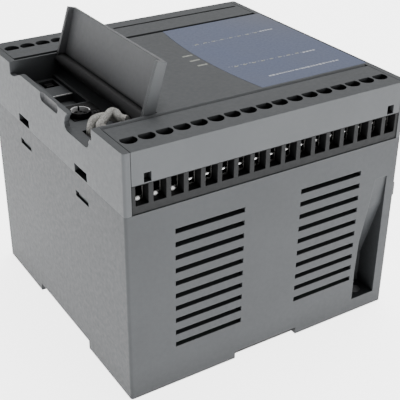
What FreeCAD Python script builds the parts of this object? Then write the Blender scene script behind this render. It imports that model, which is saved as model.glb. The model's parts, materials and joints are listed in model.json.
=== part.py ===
import FreeCAD, Part
import math
import os
import Sketcher

# Brick-type programmable logic controller, lying on its back.
# X runs across the width, Y along the mounted height, +Z out of the front panel.
# Z = 0 is the rail face. X = Y = 0 is midway between the two diagonal fixing holes.
# All lengths are millimetres.

DIMENSIONS = {
    # housing
    "body_width": 91.4,
    "body_height": 88.5,
    "body_depth": 76.0,
    "split_level": 58.5,
    "wall": 2.0,
    "corner_radius": 0.8,
    "floor_top": 4.8,
    "floor_skin": 2.0,
    # rail seat and latch
    "rail_seat_width": 35.2,
    "rail_seat_depth": 2.8,
    "hook_reach": 1.2,
    "hook_width": 22.0,
    "hook_centre": 19.0,
    "latch_slot_width": 22.2,
    "latch_slot_depth": 2.45,
    "latch_groove": 1.1,
    "latch_gap": 0.15,
    "latch_tail": 1.65,
    # diagonal fixing holes in tapered recesses
    "fixing_x": 37.5,
    "fixing_y": 39.9,
    "fixing_radius": 2.25,
    "recess_half": 4.4,
    "recess_depth": 7.5,
    "recess_top": 46.5,
    "recess_block_top": 48.0,
    "recess_wall": 1.3,
    # ventilation slots
    "vent_width": 21.8,
    "vent_centre": 20.4,
    "vent_slot": 1.5,
    "vent_pitch": 4.08,
    "vent_first": 13.55,
    "vent_rows": 10,
    # snap windows and arms
    "snap_centre": 19.4,
    "snap_window": 7.8,
    "snap_low": 51.5,
    "snap_high": 53.2,
    "cover_window_low": 58.9,
    "cover_window_high": 61.4,
    # terminals
    "terminal_pitch": 5.08,
    "near_poles": 17,
    "far_poles": 7,
    "opening_width": 3.7,
    "opening_low": 60.9,
    "opening_high": 66.4,
    "strip_half": 43.5,
    "strip_recess": 0.2,
    "strip_low": 58.6,
    "strip_top": 66.5,
    "block_top": 72.9,
    "block_inner": 32.2,
    "screw_line": 37.8,
    "screw_head": 1.75,
    "screw_shank": 1.3,
    "head_low": 67.7,
    "head_high": 69.9,
    "screw_tip": 65.0,
    "tongue_high": 64.9,
    "pin_line": 34.6,
    "pin_half": 0.5,
    "pin_half_sheet": 0.3,
    "clamp_half": 1.7,
    "clamp_sheet": 0.35,
    # terminal covers
    "cover_plate": 1.6,
    "cover_band_low": 66.7,
    "groove": 0.5,
    "access_radius": 2.25,
    "access_flat": 1.35,
    "strip_slot_end": 42.5,
    "strip_slot_start": 5.3,
    "strip_slot_line": 38.8,
    "strip_slot_width": 1.0,
    # panel and port well
    "panel_plate": 1.7,
    "panel_edge": 28.95,
    "panel_chamfer": 1.1,
    "dish_radius": 2.2,
    "dish_x": -47.2,
    "dish_z": 73.6,
    "dish_near": -5.4,
    "dish_far": 3.4,
    "well_half": 27.25,
    "well_right": 26.6,
    "well_base": 64.5,
    "well_wall": 1.5,
    "rim_level": 74.7,
    "shelf_level": 69.4,
    "far_shelf_level": 68.3,
    "pit_level": 66.0,
    # port door
    "hinge_x": -29.5,
    "hinge_z": 74.1,
    "barrel_radius": 1.9,
    "trough_gap": 0.4,
    "hinge_pin": 0.8,
    "pin_gap": 0.06,
    "pin_reach": 1.25,
    "door_plate": 1.25,
    "door_rim": 1.2,
    "door_near_end": 27.15,
    "door_far_end": 27.0,
    "door_open_angle": 105.3,
    # label and indicators
    "label_left": 7.0,
    "label_right": 44.9,
    "label_bulge": 2.5,
    "label_near": -27.3,
    "label_far": 28.0,
    "label_sheet": 0.2,
    "status_x": 0.4,
    "status_length": 3.4,
    "status_height": 0.9,
    "status_first": 4.7,
    "status_pitch": 4.3,
    "io_x": 9.2,
    "io_length": 1.2,
    "io_height": 0.6,
    "io_pitch": 3.2,
    "io_count": 8,
    "io_near_row": -10.1,
    "io_far_row": 11.9,
    "pipe_gap": 0.05,
    # boards
    "board_sheet": 1.6,
    "power_board_low": 12.4,
    "cpu_board_low": 54.8,
    "port_board_low": 62.0,
    # port socket
    "socket_x": -38.25,
    "socket_y": -4.8,
    "collar_radius": 3.1,
    "collar_top": 71.1,
    "shell_radius": 2.8,
    "shell_sheet": 0.3,
    "insert_top": 69.9,
    "contact_ring": 1.3,
    "contact_radius": 0.3,
    "socket_top": 69.6,
    # mode switch
    "switch_x": -35.4,
    "switch_y": 23.2,
    "switch_window_x": 4.8,
    "switch_window_y": 5.6,
    "knob_half": 1.2,
    # trimmer
    "trimmer_x": -33.5,
    "trimmer_y": -5.5,
    "trimmer_radius": 0.8,
    # expansion cover
    "bump": 1.6,
    "bump_low": 37.4,
    "bump_high": 42.2,
    # cord
    "cord_diameter": 2.3,
    "cord_x": -40.8,
    "cord_y": -16.3,
}

POWER_BOARD_SCREWS = ((-39.5, -27.0), (-39.5, 27.0), (39.5, -27.0), (39.5, 27.0))
CPU_BOARD_SCREWS = ((-41.2, -7.0), (-41.2, 7.0), (41.2, -7.0), (41.2, 7.0))
PLANES = {"Z": "XY_Plane", "Y": "XZ_Plane", "X": "YZ_Plane"}


class Size:
    """A length that carries its spreadsheet formula through plain arithmetic."""

    def __init__(self, value, formula):
        self.value = value
        self.formula = formula

    def joined(self, other, sign, value, flip=False):
        first, second = formula(self), formula(other)
        if flip:
            first, second = second, first
        return Size(value, f"({first} {sign} {second})")

    def __add__(self, other):
        return self.joined(other, "+", self.value + number(other))

    def __radd__(self, other):
        return self.joined(other, "+", number(other) + self.value, flip=True)

    def __sub__(self, other):
        return self.joined(other, "-", self.value - number(other))

    def __rsub__(self, other):
        return self.joined(other, "-", number(other) - self.value, flip=True)

    def __mul__(self, other):
        return self.joined(other, "*", self.value * number(other))

    def __rmul__(self, other):
        return self.joined(other, "*", number(other) * self.value, flip=True)

    def __truediv__(self, other):
        return self.joined(other, "/", self.value / number(other))

    def __neg__(self):
        return Size(-self.value, f"(0 - {self.formula})")


def number(size):
    return size.value if isinstance(size, Size) else float(size)


def formula(size):
    return size.formula if isinstance(size, Size) else f"({float(size):.6f})"


class Sheet:
    """The driving dimensions, each a cell with an alias, read back as Size values."""

    def __init__(self, document, rows):
        table = document.addObject("Spreadsheet::Sheet", "Dims")
        for row, (alias, value) in enumerate(rows.items(), start=1):
            table.set(f"A{row}", alias)
            table.set(f"B{row}", str(value))
            table.setAlias(f"B{row}", alias)
            setattr(self, alias, Size(float(value), f"Dims.{alias}"))
        document.recompute()


doc = FreeCAD.newDocument("plc_module")
d = Sheet(doc, DIMENSIONS)

half_w = d.body_width / 2
half_h = d.body_height / 2
inner_x = half_w - d.wall
inner_y = half_h - d.wall
board_top = d.cpu_board_low + d.board_sheet
port_board_top = d.port_board_low + d.board_sheet
row_end = 8 * d.terminal_pitch


# ---- building blocks -------------------------------------------------------


def new_body(label):
    body = doc.addObject("PartDesign::Body", label)
    body.Label = label
    body.AllowCompound = True
    return body


def origin_feature(body, role):
    return next(f for f in body.Origin.OriginFeatures if f.Role == role)


def new_feature(body, kind, name):
    """A feature without the slow merging of faces after each step."""
    feature = body.newObject(f"PartDesign::{kind}", name)
    feature.Refine = False
    return feature


def attach(body, feature, axis, base):
    """Fixes a feature to the plane square to an axis, at a local offset."""
    feature.AttachmentSupport = [(origin_feature(body, PLANES[axis]), "")]
    feature.MapMode = "FlatFace"
    for letter, size in zip("xyz", base):
        feature.setExpression(f"AttachmentOffset.Base.{letter}", formula(size))


def block(body, name, x, y, z, cut=False):
    """A box between pairs of coordinates, added or cut."""
    box = new_feature(body, "SubtractiveBox" if cut else "AdditiveBox", name)
    attach(body, box, "Z", (x[0], y[0], z[0]))
    for side, span in zip(("Length", "Width", "Height"), (x, y, z)):
        box.setExpression(side, formula(span[1] - span[0]))
    return box


def local_base(axis, centre, span):
    """Local coordinates of a solid of revolution that runs along an axis."""
    if axis == "Y":
        return (centre[0], centre[1], -span[1])
    return (centre[0], centre[1], span[0])


def drum(body, name, axis, centre, span, radius, cut=False):
    """A cylinder along an axis; centre is given in the other two coordinates."""
    cylinder = new_feature(body, "SubtractiveCylinder" if cut else "AdditiveCylinder", name)
    attach(body, cylinder, axis, local_base(axis, centre, span))
    cylinder.setExpression("Radius", formula(radius))
    cylinder.setExpression("Height", formula(span[1] - span[0]))
    return cylinder


def pin_point(sketch, line, end, point):
    """Places one end of a line by two driven distances from the sketch origin."""
    for kind, size in zip(("DistanceX", "DistanceY"), point):
        index = sketch.addConstraint(Sketcher.Constraint(kind, line, end, number(size)))
        sketch.setExpression(f"Constraints[{index}]", formula(size))


def outline(body, name, axis, level, points):
    """A closed sketch of straight lines through driven points."""
    sketch = body.newObject("Sketcher::SketchObject", name)
    attach(body, sketch, axis, (0, 0, level))
    corners = [FreeCAD.Vector(number(a), number(b), 0) for a, b in points]
    count = len(corners)
    for i in range(count):
        sketch.addGeometry(Part.LineSegment(corners[i], corners[(i + 1) % count]), False)
    for i in range(count):
        sketch.addConstraint(Sketcher.Constraint("Coincident", i, 2, (i + 1) % count, 1))
        pin_point(sketch, i, 1, points[i])
    return sketch


def extrude(body, name, axis, points, span, cut=False):
    """A prism of an outline between two levels of an axis, added or cut."""
    level = -span[1] if axis == "Y" else span[0]
    sketch = outline(body, name + "_sketch", axis, level, points)
    prism = new_feature(body, "Pocket" if cut else "Pad", name)
    prism.Profile = sketch
    prism.setExpression("Length", formula(span[1] - span[0]))
    prism.Reversed = cut
    return prism


def dee(body, name, centre, radius, flat, span):
    """A pocket with a round side and one flat side towards +Y."""
    sketch = body.newObject("Sketcher::SketchObject", name + "_sketch")
    attach(body, sketch, "Z", (0, 0, span[0]))
    x, y, r, f = number(centre[0]), number(centre[1]), number(radius), number(flat)
    reach = math.asin(f / r)
    middle = FreeCAD.Vector(x, y, 0)
    up = FreeCAD.Vector(0, 0, 1)
    arc = Part.ArcOfCircle(Part.Circle(middle, up, r), math.pi - reach, 2 * math.pi + reach)
    sketch.addGeometry(arc, False)
    sketch.addGeometry(Part.LineSegment(arc.EndPoint, arc.StartPoint), False)
    sketch.addConstraint(Sketcher.Constraint("Coincident", 0, 2, 1, 1))
    sketch.addConstraint(Sketcher.Constraint("Coincident", 1, 2, 0, 1))
    sketch.addConstraint(Sketcher.Constraint("Horizontal", 1))
    pin_point(sketch, 0, 3, centre)
    index = sketch.addConstraint(Sketcher.Constraint("Radius", 0, r))
    sketch.setExpression(f"Constraints[{index}]", formula(radius))
    index = sketch.addConstraint(Sketcher.Constraint("DistanceY", 1, 1, y + f))
    sketch.setExpression(f"Constraints[{index}]", formula(centre[1] + flat))
    pocket = new_feature(body, "Pocket", name)
    pocket.Profile = sketch
    pocket.setExpression("Length", formula(span[1] - span[0]))
    pocket.Reversed = True
    return pocket


def repeat(body, name, features, axis, length, count):
    """A row of copies of features along an axis."""
    pattern = new_feature(body, "LinearPattern", name)
    pattern.Originals = features
    pattern.Direction = (origin_feature(body, f"{axis}_Axis"), [""])
    pattern.setExpression("Length", formula(length))
    pattern.Occurrences = count
    body.Tip = pattern
    return pattern


def half_turn(body, name, features):
    """The same features again, turned half round about the Z axis."""
    pattern = new_feature(body, "PolarPattern", name)
    pattern.Originals = features
    pattern.Axis = (origin_feature(body, "Z_Axis"), [""])
    pattern.Angle = 360
    pattern.Occurrences = 2
    body.Tip = pattern
    return pattern


def round_edges(body, name, chosen, radius):
    """Fillets the edges of the current tip that a test picks out."""
    doc.recompute()
    tip = body.Tip
    names = [f"Edge{i}" for i, edge in enumerate(tip.Shape.Edges, start=1) if chosen(edge)]
    fillet = new_feature(body, "Fillet", name)
    fillet.Base = (tip, names)
    fillet.setExpression("Radius", formula(radius))
    return fillet


def upright(edge):
    box = edge.BoundBox
    return box.XLength < 0.01 and box.YLength < 0.01


def span_about(centre, half):
    return (centre - half, centre + half)


def turn_to_far_side(body):
    """Stands the same moulding at the far side, turned half round about Z."""
    body.Placement = FreeCAD.Placement(FreeCAD.Vector(), FreeCAD.Rotation(180, 0, 0))
    return body


# ---- housing -----------------------------------------------------------------


def rear_housing():
    body = new_body("rear_housing")
    block(body, "shell", (-half_w, half_w), (-half_h, half_h), (0, d.split_level))
    round_edges(body, "corners", upright, d.corner_radius)
    hollow_out(body)
    recess_block(body)
    board_supports(body)
    vent_rows(body)
    rail_seat(body)
    latch_slot(body)
    fixing_recesses(body)
    snap = span_about(0, d.snap_window / 2)
    for name, side in (("near", -1), ("far", 1)):
        y = (snap[0] + d.snap_centre * side, snap[1] + d.snap_centre * side)
        block(body, f"snap_windows_{name}", (-half_w - 1, half_w + 1), y,
              (d.snap_low, d.snap_high), cut=True)
    block(body, "expansion_window", (inner_x - 1, half_w + 1), (-33.2, -18.4),
          (d.bump_low + 0.6, d.bump_high - 0.6), cut=True)
    return body


def hollow_out(body):
    block(body, "cavity", (-inner_x, inner_x), (-inner_y, inner_y),
          (d.floor_top, d.split_level), cut=True)
    side = d.rail_seat_width / 2 + d.wall
    recess_edge = d.fixing_x - d.recess_half - d.recess_wall
    slot_edge = d.latch_slot_width / 2 + d.latch_groove + d.recess_wall
    low = (d.floor_skin, d.floor_top)
    block(body, "thin_floor_near_left", (-inner_x, -slot_edge), (-inner_y, -side), low, cut=True)
    block(body, "thin_floor_near_right", (slot_edge, recess_edge), (-inner_y, -side), low, cut=True)
    block(body, "thin_floor_far", (-recess_edge, inner_x), (side, inner_y), low, cut=True)


def recess_block(body):
    """Solid corner columns that the fixing recesses are sunk in."""
    inside = d.fixing_x - d.recess_half - d.recess_wall
    depth = d.recess_depth + d.wall
    near = block(body, "column", (inside, inner_x + 0.1), (-inner_y - 0.1, -half_h + depth),
                 (d.floor_skin, d.recess_block_top))
    half_turn(body, "columns", [near])


def vent_rows(body):
    for name, side in (("left", -1), ("right", 1)):
        centre = d.vent_centre * side
        for face, y in (("near", -half_h), ("far", inner_y)):
            slot = block(body, f"vent_{face}_{name}", span_about(centre, d.vent_width / 2),
                         (y, y + d.wall), span_about(d.vent_first, d.vent_slot / 2), cut=True)
            rows = DIMENSIONS["vent_rows"]
            repeat(body, f"vents_{face}_{name}", [slot], "Z", d.vent_pitch * (rows - 1), rows)


def rail_seat(body):
    """A channel for a 35 mm rail, with two fixed hooks on its far side."""
    half = d.rail_seat_width / 2
    block(body, "rail_channel", (-half_w, half_w), (-half, half), (0, d.rail_seat_depth), cut=True)
    for name, side in (("left", -1), ("right", 1)):
        block(body, f"rail_hook_{name}", span_about(d.hook_centre * side, d.hook_width / 2),
              (half - d.hook_reach, half + 0.1), (0, 1.2))


def latch_slot(body):
    """A T-shaped slot from the near face to the rail channel."""
    half = d.latch_slot_width / 2
    end = -d.rail_seat_width / 2
    block(body, "latch_slot", (-half, half), (-half_h, end), (0, d.latch_slot_depth), cut=True)
    wide = half + d.latch_groove
    block(body, "latch_grooves", (-wide, wide), (-42.0, end), (1.25, d.latch_slot_depth), cut=True)


def fixing_recesses(body):
    """Tapered recesses in two diagonal corners, each with a screw hole at its foot."""
    outer = d.fixing_x + d.recess_half
    sections = (
        (d.floor_top, d.fixing_x - d.recess_half, d.recess_depth),
        (16.0, d.fixing_x - d.recess_half, d.recess_depth),
        (26.0, d.fixing_x - d.recess_half + 0.5, d.recess_depth - 3.1),
        (37.0, d.fixing_x - d.recess_half + 2.7, d.recess_depth - 6.3),
        (d.recess_top, d.fixing_x - d.recess_half + 4.4, d.recess_depth - 7.2),
    )
    outside = -half_h - 0.5
    sketches = []
    for i, (level, left, depth) in enumerate(sections):
        inside = -half_h + depth
        corners = ((left, outside), (outer, outside), (outer, inside), (left, inside))
        sketches.append(outline(body, f"recess_section_{i}", "Z", level, corners))
    recess = new_feature(body, "SubtractiveLoft", "fixing_recess")
    recess.Profile = sketches[0]
    recess.Sections = sketches[1:]
    recess.Ruled = True
    hole = drum(body, "fixing_hole", "Z", (d.fixing_x, -d.fixing_y), (0, d.floor_top + 0.1),
                d.fixing_radius, cut=True)
    half_turn(body, "fixing_recesses", [recess, hole])


def board_supports(body):
    """Posts for the power board and wall blocks for the processor board."""
    for i, place in enumerate(POWER_BOARD_SCREWS):
        drum(body, f"post_{i}", "Z", place, (d.floor_skin, d.power_board_low), 3.0)
        drum(body, f"post_hole_{i}", "Z", place, (6.0, d.power_board_low), 1.0, cut=True)
    for i, place in enumerate(CPU_BOARD_SCREWS):
        inside = (-inner_x - 0.1, -39.2) if place[0] < 0 else (39.2, inner_x + 0.1)
        block(body, f"shelf_{i}", inside, span_about(place[1], 3.0), (45.0, d.cpu_board_low))
        drum(body, f"shelf_hole_{i}", "Z", place, (48.0, d.cpu_board_low), 0.9, cut=True)


def front_cover():
    body = new_body("front_cover")
    block(body, "shell", (-half_w, half_w), (-half_h, half_h), (d.split_level, d.body_depth))
    round_edges(body, "corners", upright, d.corner_radius)
    open_inside(body)
    port_well(body)
    door_seat(body)
    panel_edges(body)
    indicator_holes(body)
    for name, side in (("near", -1), ("far", 1)):
        y = span_about(d.snap_centre * side, d.snap_window / 2 - 0.2)
        block(body, f"mould_windows_{name}", (-half_w - 1, half_w + 1), y,
              (d.cover_window_low, d.cover_window_high), cut=True)
        snap_arms(body, name, d.snap_centre * side)
    return body


def open_inside(body):
    """Leaves side walls, a front panel and two walls along the terminal rows."""
    underside = d.body_depth - d.panel_plate
    block(body, "inside", (-inner_x, inner_x), (-d.well_half, d.well_half),
          (d.split_level, underside), cut=True)
    block(body, "far_bay", (-inner_x, inner_x), (d.panel_edge, half_h), (d.split_level, d.body_depth),
          cut=True)
    block(body, "near_bay", (-inner_x, inner_x), (-half_h, -d.panel_edge),
          (d.split_level, d.body_depth), cut=True)


def port_well(body):
    """The stepped tray under the door."""
    underside = d.body_depth - d.panel_plate
    block(body, "well", (-inner_x - 0.1, -26.0), (-d.well_half, d.well_half), (d.well_base, underside))
    left = -half_w + d.well_wall
    mouth = (
        (left, d.shelf_level),
        (-31.6, d.shelf_level),
        (-29.6, 72.0),
        (-29.6, d.body_depth),
        (left, d.body_depth),
    )
    extrude(body, "well_mouth", "Y", mouth, (-d.well_half, d.well_half), cut=True)
    shelf = -inner_x
    block(body, "far_shelf", (shelf, -32.3), (13.5, d.well_half),
          (d.far_shelf_level, d.shelf_level), cut=True)
    block(body, "middle_pit", (shelf, -32.3), (3.2, 13.5), (d.pit_level, d.shelf_level), cut=True)
    block(body, "cord_pit", (-42.3, -31.6), (-d.well_half, -14.3), (d.pit_level, d.shelf_level),
          cut=True)
    block(body, "socket_window", (-41.5, -31.7), (-8.0, 2.5), (d.well_base, d.shelf_level), cut=True)
    block(body, "switch_window", span_about(d.switch_x, d.switch_window_x / 2),
          span_about(d.switch_y, d.switch_window_y / 2), (d.well_base, d.far_shelf_level), cut=True)
    block(body, "switch_bay", (-42.2, -31.8), (16.3, 26.95), (d.well_base, 66.8), cut=True)
    block(body, "grommet_hole", span_about(d.cord_x, 1.25), span_about(d.cord_y, 1.55),
          (d.well_base, d.pit_level), cut=True)


def door_seat(body):
    """Rim, scoop, hinge trough and pin holes for the port door."""
    sides = (-d.well_half, d.well_half)
    block(body, "door_seat", (-half_w, -d.well_right), sides, (d.rim_level, d.body_depth), cut=True)
    hinge = (d.hinge_x, d.hinge_z)
    drum(body, "hinge_trough", "Y", hinge, sides, d.barrel_radius + d.trough_gap, cut=True)
    reach = d.well_half + d.pin_reach + 0.1
    drum(body, "hinge_holes", "Y", hinge, (-reach, reach), d.hinge_pin + d.pin_gap, cut=True)
    wall = (-half_w, -half_w + d.well_wall)
    dip = (
        (18.6, d.body_depth),
        (18.6, d.rim_level),
        (20.2, 74.3),
        (23.8, 72.7),
        (25.3, 72.3),
        (d.well_half, 72.3),
        (d.well_half, d.body_depth),
    )
    extrude(body, "rim_dip", "X", dip, wall, cut=True)
    scoop = (
        (-13.4, d.body_depth),
        (-13.0, d.rim_level),
        (-11.4, 73.1),
        (-10.7, 71.3),
        (-11.1, 70.2),
        (-12.2, d.shelf_level),
        (-23.6, d.shelf_level),
        (-24.8, 69.8),
        (-25.5, 70.8),
        (-25.5, 71.6),
        (-26.2, 72.6),
        (-d.well_half, 72.8),
        (-d.well_half, d.body_depth),
    )
    extrude(body, "cable_scoop", "X", scoop, wall, cut=True)
    finger_dish(body)


def finger_dish(body):
    """A groove with round ends in the outer face, under the free edge of the door."""
    drum(body, "finger_dish", "Y", (d.dish_x, d.dish_z), (d.dish_near, d.dish_far), d.dish_radius,
         cut=True)
    for name, y in (("near", d.dish_near), ("far", d.dish_far)):
        end = new_feature(body, "SubtractiveSphere", f"dish_end_{name}")
        attach(body, end, "Z", (d.dish_x, y, d.dish_z))
        end.setExpression("Radius", formula(d.dish_radius))


def panel_edges(body):
    """Bevels along both terminal rows, and the shallow bed of the label."""
    for name, side in (("near", -1), ("far", 1)):
        edge = d.panel_edge * side
        inner = (d.panel_edge - d.panel_chamfer) * side
        low = d.body_depth - d.panel_chamfer * 0.9
        points = ((inner, d.body_depth), (edge + 0.1 * side, d.body_depth), (edge + 0.1 * side, low))
        extrude(body, f"bevel_{name}", "X", points, (-inner_x, inner_x), cut=True)
    extrude(body, "label_bed", "Z", label_outline(0.1),
            (d.body_depth - d.label_sheet, d.body_depth), cut=True)


def label_outline(margin):
    """The label is a rectangle whose left side bows outwards."""
    near, far = d.label_near - margin, d.label_far + margin
    left, right = d.label_left - margin, d.label_right + margin
    middle = (near + far) / 2
    half = (far - near) / 2
    bowed = []
    steps = 8
    for i in range(steps + 1):
        share = 1 - 2 * i / steps
        bowed.append((left - d.label_bulge * (1 - share * share), middle + half * share))
    return [(right, near), (right, far)] + bowed


def status_pipe(body, name, cut=False, margin=0):
    """Three light pipes beside the legend of the run lamps."""
    span = (60.0, d.body_depth)
    x = (d.status_x - margin, d.status_x + d.status_length + margin)
    pipe = block(body, name, x, span_about(d.status_first, d.status_height / 2 + margin), span, cut)
    repeat(body, name + "s", [pipe], "Y", d.status_pitch * 2, 3).Reversed = True


def io_pipes(body, name, span, cut=False, margin=0):
    """Two rows of light pipes under the label."""
    for row, y in (("near", d.io_near_row), ("far", d.io_far_row)):
        x = (d.io_x - margin, d.io_x + d.io_length + margin)
        pipe = block(body, f"{name}_{row}", x, span_about(y, d.io_height / 2 + margin), span, cut)
        count = DIMENSIONS["io_count"]
        repeat(body, f"{name}s_{row}", [pipe], "X", d.io_pitch * (count - 1), count)


def indicator_holes(body):
    status_pipe(body, "status_hole", cut=True, margin=d.pipe_gap)
    io_pipes(body, "io_hole", (60.0, d.body_depth), cut=True, margin=d.pipe_gap)


def snap_arms(body, name, y):
    """Flexible arms that hook into the windows of the rear housing."""
    for side_name, side in (("left", -1), ("right", 1)):
        outside = (inner_x - 0.2) * side
        inside = (inner_x - 1.5) * side
        root = (inner_x + 0.1) * side
        arm = sorted((outside, inside), key=number)
        foot = sorted((root, inside), key=number)
        hook = sorted((outside, (inner_x + 1.4) * side), key=number)
        across = span_about(y, 3.3)
        block(body, f"arm_{name}_{side_name}", arm, across, (d.snap_low + 0.2, 62.6))
        block(body, f"arm_root_{name}_{side_name}", foot, across, (d.cover_window_high, 62.6))
        block(body, f"hook_{name}_{side_name}", hook, across, (d.snap_low + 0.2, d.snap_high - 0.1))


# ---- terminals -----------------------------------------------------------------


class Row:
    """The poles of one terminal row, drawn along the near side."""

    def __init__(self, side, poles, first):
        self.side = side
        self.poles = poles
        self.first = first
        self.length = d.terminal_pitch * (poles - 1)

    def repeat(self, body, name, features):
        repeat(body, name, features, "X", self.length, self.poles)


near_row = Row("near", DIMENSIONS["near_poles"], -row_end)
far_row = Row("far", DIMENSIONS["far_poles"], row_end - d.terminal_pitch * (d.far_poles - 1))


def terminal_cover(row):
    body = new_body(f"terminal_cover_{row.side}")
    edge = -d.panel_edge - d.groove
    half = d.strip_half + 0.05
    side = (-half, half)
    plate = (d.body_depth - d.cover_plate, d.body_depth)
    block(body, "plate", side, (-half_h, edge), plate)
    block(body, "band", side, (-half_h, -half_h + d.cover_plate), (d.cover_band_low, d.body_depth))
    block(body, "rib", side, (edge - 1.5, edge), (73.1, d.body_depth - d.cover_plate + 0.1))
    for name, x in (("left", (-40.1, -38.0)), ("right", (38.9, 41.2))):
        block(body, f"notch_{name}", x, (-half_h, -half_h + d.cover_plate), (67.0, 69.6), cut=True)
    hole = dee(body, "access_hole", (row.first, -d.screw_line), d.access_radius, d.access_flat, plate)
    row.repeat(body, "access_holes", [hole])
    if row is far_row:
        block(body, "marker_slot", (-d.strip_slot_end, d.strip_slot_start),
              span_about(-d.strip_slot_line, d.strip_slot_width / 2), plate, cut=True)
    return body


def terminal_block(row):
    body = new_body(f"terminal_block_{row.side}")
    face = -half_h + d.strip_recess
    step = -half_h + d.cover_plate + 0.25
    seat = -inner_y + 0.35
    profile = (
        (face, d.strip_low),
        (face, d.strip_top),
        (step, d.strip_top),
        (step, d.block_top),
        (-d.block_inner, d.block_top),
        (-d.block_inner, board_top),
        (seat, board_top),
        (seat, d.strip_low),
    )
    extrude(body, "moulding", "X", profile, (-d.strip_half, d.strip_half))
    opening = block(body, "wire_opening", span_about(row.first, d.opening_width / 2),
                    (face, -d.block_inner - 2), (d.opening_low, d.opening_high), cut=True)
    pole = (row.first, -d.screw_line)
    bore = drum(body, "head_bore", "Z", pole, (d.head_low - 0.1, d.block_top), d.screw_head + 0.15,
                cut=True)
    neck = drum(body, "neck_bore", "Z", pole, (d.opening_high - 0.1, d.head_low), d.screw_shank + 0.15,
                cut=True)
    slot = pin_slot(body, row.first, (board_top, d.opening_low))
    row.repeat(body, "poles", [opening, bore, neck, slot])
    return body


def pin_slot(body, x, span, side=-1):
    """The rectangular hole of the first pin in a row."""
    return block(body, "pin_slot", span_about(x, d.pin_half + 0.05),
                 span_about(d.pin_line * side, d.pin_half_sheet + 0.05), span, cut=True)


def terminal_screws(row):
    """Slotted screws standing in the block, heads towards the access holes."""
    body = new_body(f"terminal_screws_{row.side}")
    pole = (row.first, -d.screw_line)
    shank = drum(body, "shank", "Z", pole, (d.screw_tip, d.head_low + 0.1), d.screw_shank)
    head = drum(body, "head", "Z", pole, (d.head_low, d.head_high - 0.4), d.screw_head)
    crown = drum(body, "crown", "Z", pole, (d.head_high - 0.5, d.head_high), d.screw_head - 0.4)
    slot = block(body, "driver_slot", span_about(row.first, 0.35),
                 span_about(-d.screw_line, d.screw_head + 0.1), (d.head_high - 1.1, d.head_high),
                 cut=True)
    row.repeat(body, "screws", [shank, head, crown, slot])
    return body


def wire_clamps(row):
    """Folded cages that the screws pull up on the wires."""
    body = new_body(f"wire_clamps_{row.side}")
    across = span_about(row.first, d.clamp_half)
    along = (-41.5, -35.3)
    cage = block(body, "cage", across, along, (60.95, 66.2))
    inside = span_about(row.first, d.clamp_half - d.clamp_sheet)
    mouth = block(body, "mouth", inside, along, (61.6, d.screw_tip), cut=True)
    hole = drum(body, "screw_hole", "Z", (row.first, -d.screw_line), (d.screw_tip, 66.3),
                d.screw_shank + 0.05, cut=True)
    row.repeat(body, "cages", [cage, mouth, hole])
    return body


def terminal_pins(row):
    """Tongues under the screws that turn down through the processor board."""
    body = new_body(f"terminal_pins_{row.side}")
    across = span_about(row.first, d.pin_half)
    back = -d.pin_line + d.pin_half_sheet
    pin = block(body, "pin", across, span_about(-d.pin_line, d.pin_half_sheet), (53.6, d.tongue_high))
    tongue = block(body, "tongue", span_about(row.first, 0.9), (-40.0, back),
                   (d.tongue_high - 0.6, d.tongue_high))
    row.repeat(body, "pins", [pin, tongue])
    return body


# ---- front panel pieces ----------------------------------------------------------


def panel_label():
    body = new_body("panel_label")
    span = (d.body_depth - d.label_sheet, d.body_depth)
    extrude(body, "sheet", "Z", label_outline(0), span)
    io_pipes(body, "window", span, cut=True, margin=d.pipe_gap)
    return body


def status_light_pipes():
    body = new_body("status_light_pipes")
    status_pipe(body, "status_pipe")
    return body


def io_light_pipes():
    body = new_body("io_light_pipes")
    io_pipes(body, "io_pipe", (60.0, d.body_depth))
    return body


def port_door():
    """Drawn shut about its own hinge line, then swung open by its placement."""
    body = new_body("port_door")
    top = d.body_depth - d.hinge_z
    free = -half_w - d.hinge_x + 0.05
    ends = (-d.door_near_end, d.door_far_end)
    block(body, "plate", (free, 0), ends, (top - d.door_plate, top))
    drum(body, "barrel", "Y", (0, 0), ends, d.barrel_radius)
    profile = ((free, top), (free, -0.95), (-1.7, -1.6), (-0.9, -1.4), (0, 0), (0, top - 0.2))
    extrude(body, "near_rim", "Y", profile, (ends[0], ends[0] + d.door_rim))
    extrude(body, "far_rim", "Y", profile, (ends[1] - d.door_rim, ends[1]))
    reach = d.well_half + d.pin_reach
    drum(body, "pins", "Y", (0, 0), (-reach, reach), d.hinge_pin)
    hinge = FreeCAD.Vector(number(d.hinge_x), 0, number(d.hinge_z))
    swing = FreeCAD.Rotation(FreeCAD.Vector(0, 1, 0), number(d.door_open_angle))
    body.Placement = FreeCAD.Placement(hinge, swing)
    return body


def mode_switch_body():
    body = new_body("mode_switch_body")
    block(body, "case", (-38.4, -32.4), (18.8, 26.6), (port_board_top, 66.6))
    block(body, "guide", span_about(d.switch_x, 0.6), span_about(d.switch_y, 2.6), (65.4, 66.6),
          cut=True)
    return body


def mode_switch_knob():
    body = new_body("mode_switch_knob")
    block(body, "grip", span_about(d.switch_x, d.knob_half), span_about(d.switch_y, d.knob_half),
          (66.7, 68.1))
    block(body, "stem", span_about(d.switch_x, 0.5), span_about(d.switch_y, 0.8), (65.5, 66.8))
    block(body, "groove", span_about(d.switch_x, d.knob_half), span_about(d.switch_y, 0.2),
          (67.8, 68.1), cut=True)
    return body


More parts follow.
